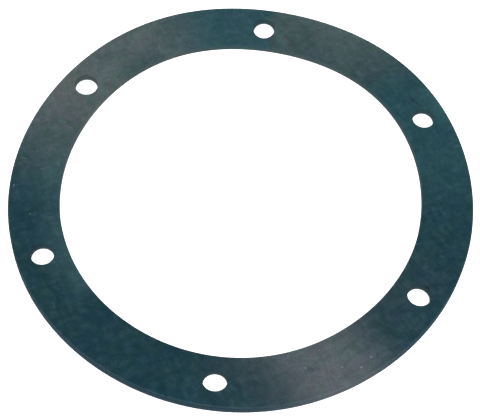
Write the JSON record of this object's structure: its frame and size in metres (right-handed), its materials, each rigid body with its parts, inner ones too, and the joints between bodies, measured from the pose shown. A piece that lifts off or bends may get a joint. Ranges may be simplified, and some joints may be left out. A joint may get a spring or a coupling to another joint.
{
  "type": "rubber flange gasket",
  "caption": "Flat ring-shaped rubber gasket, die-cut from sheet, with a wide bore and a circle of bolt holes through the band.",
  "frame": {"origin": "centre of the ring at its lower face", "axes": "+Z along the ring's axis, towards the face that the knife entered; a bolt hole lies on +Y and one on -Y"},
  "size_m": [0.14, 0.14, 0.0025],
  "materials": {
    "rubber_sheet": "matt calendered sheet, dark blue-green black, with a faint pale bloom"
  },
  "bodies": {
    "root": {"gasket_ring": "rubber_sheet"}
  },
  "joints": []
}
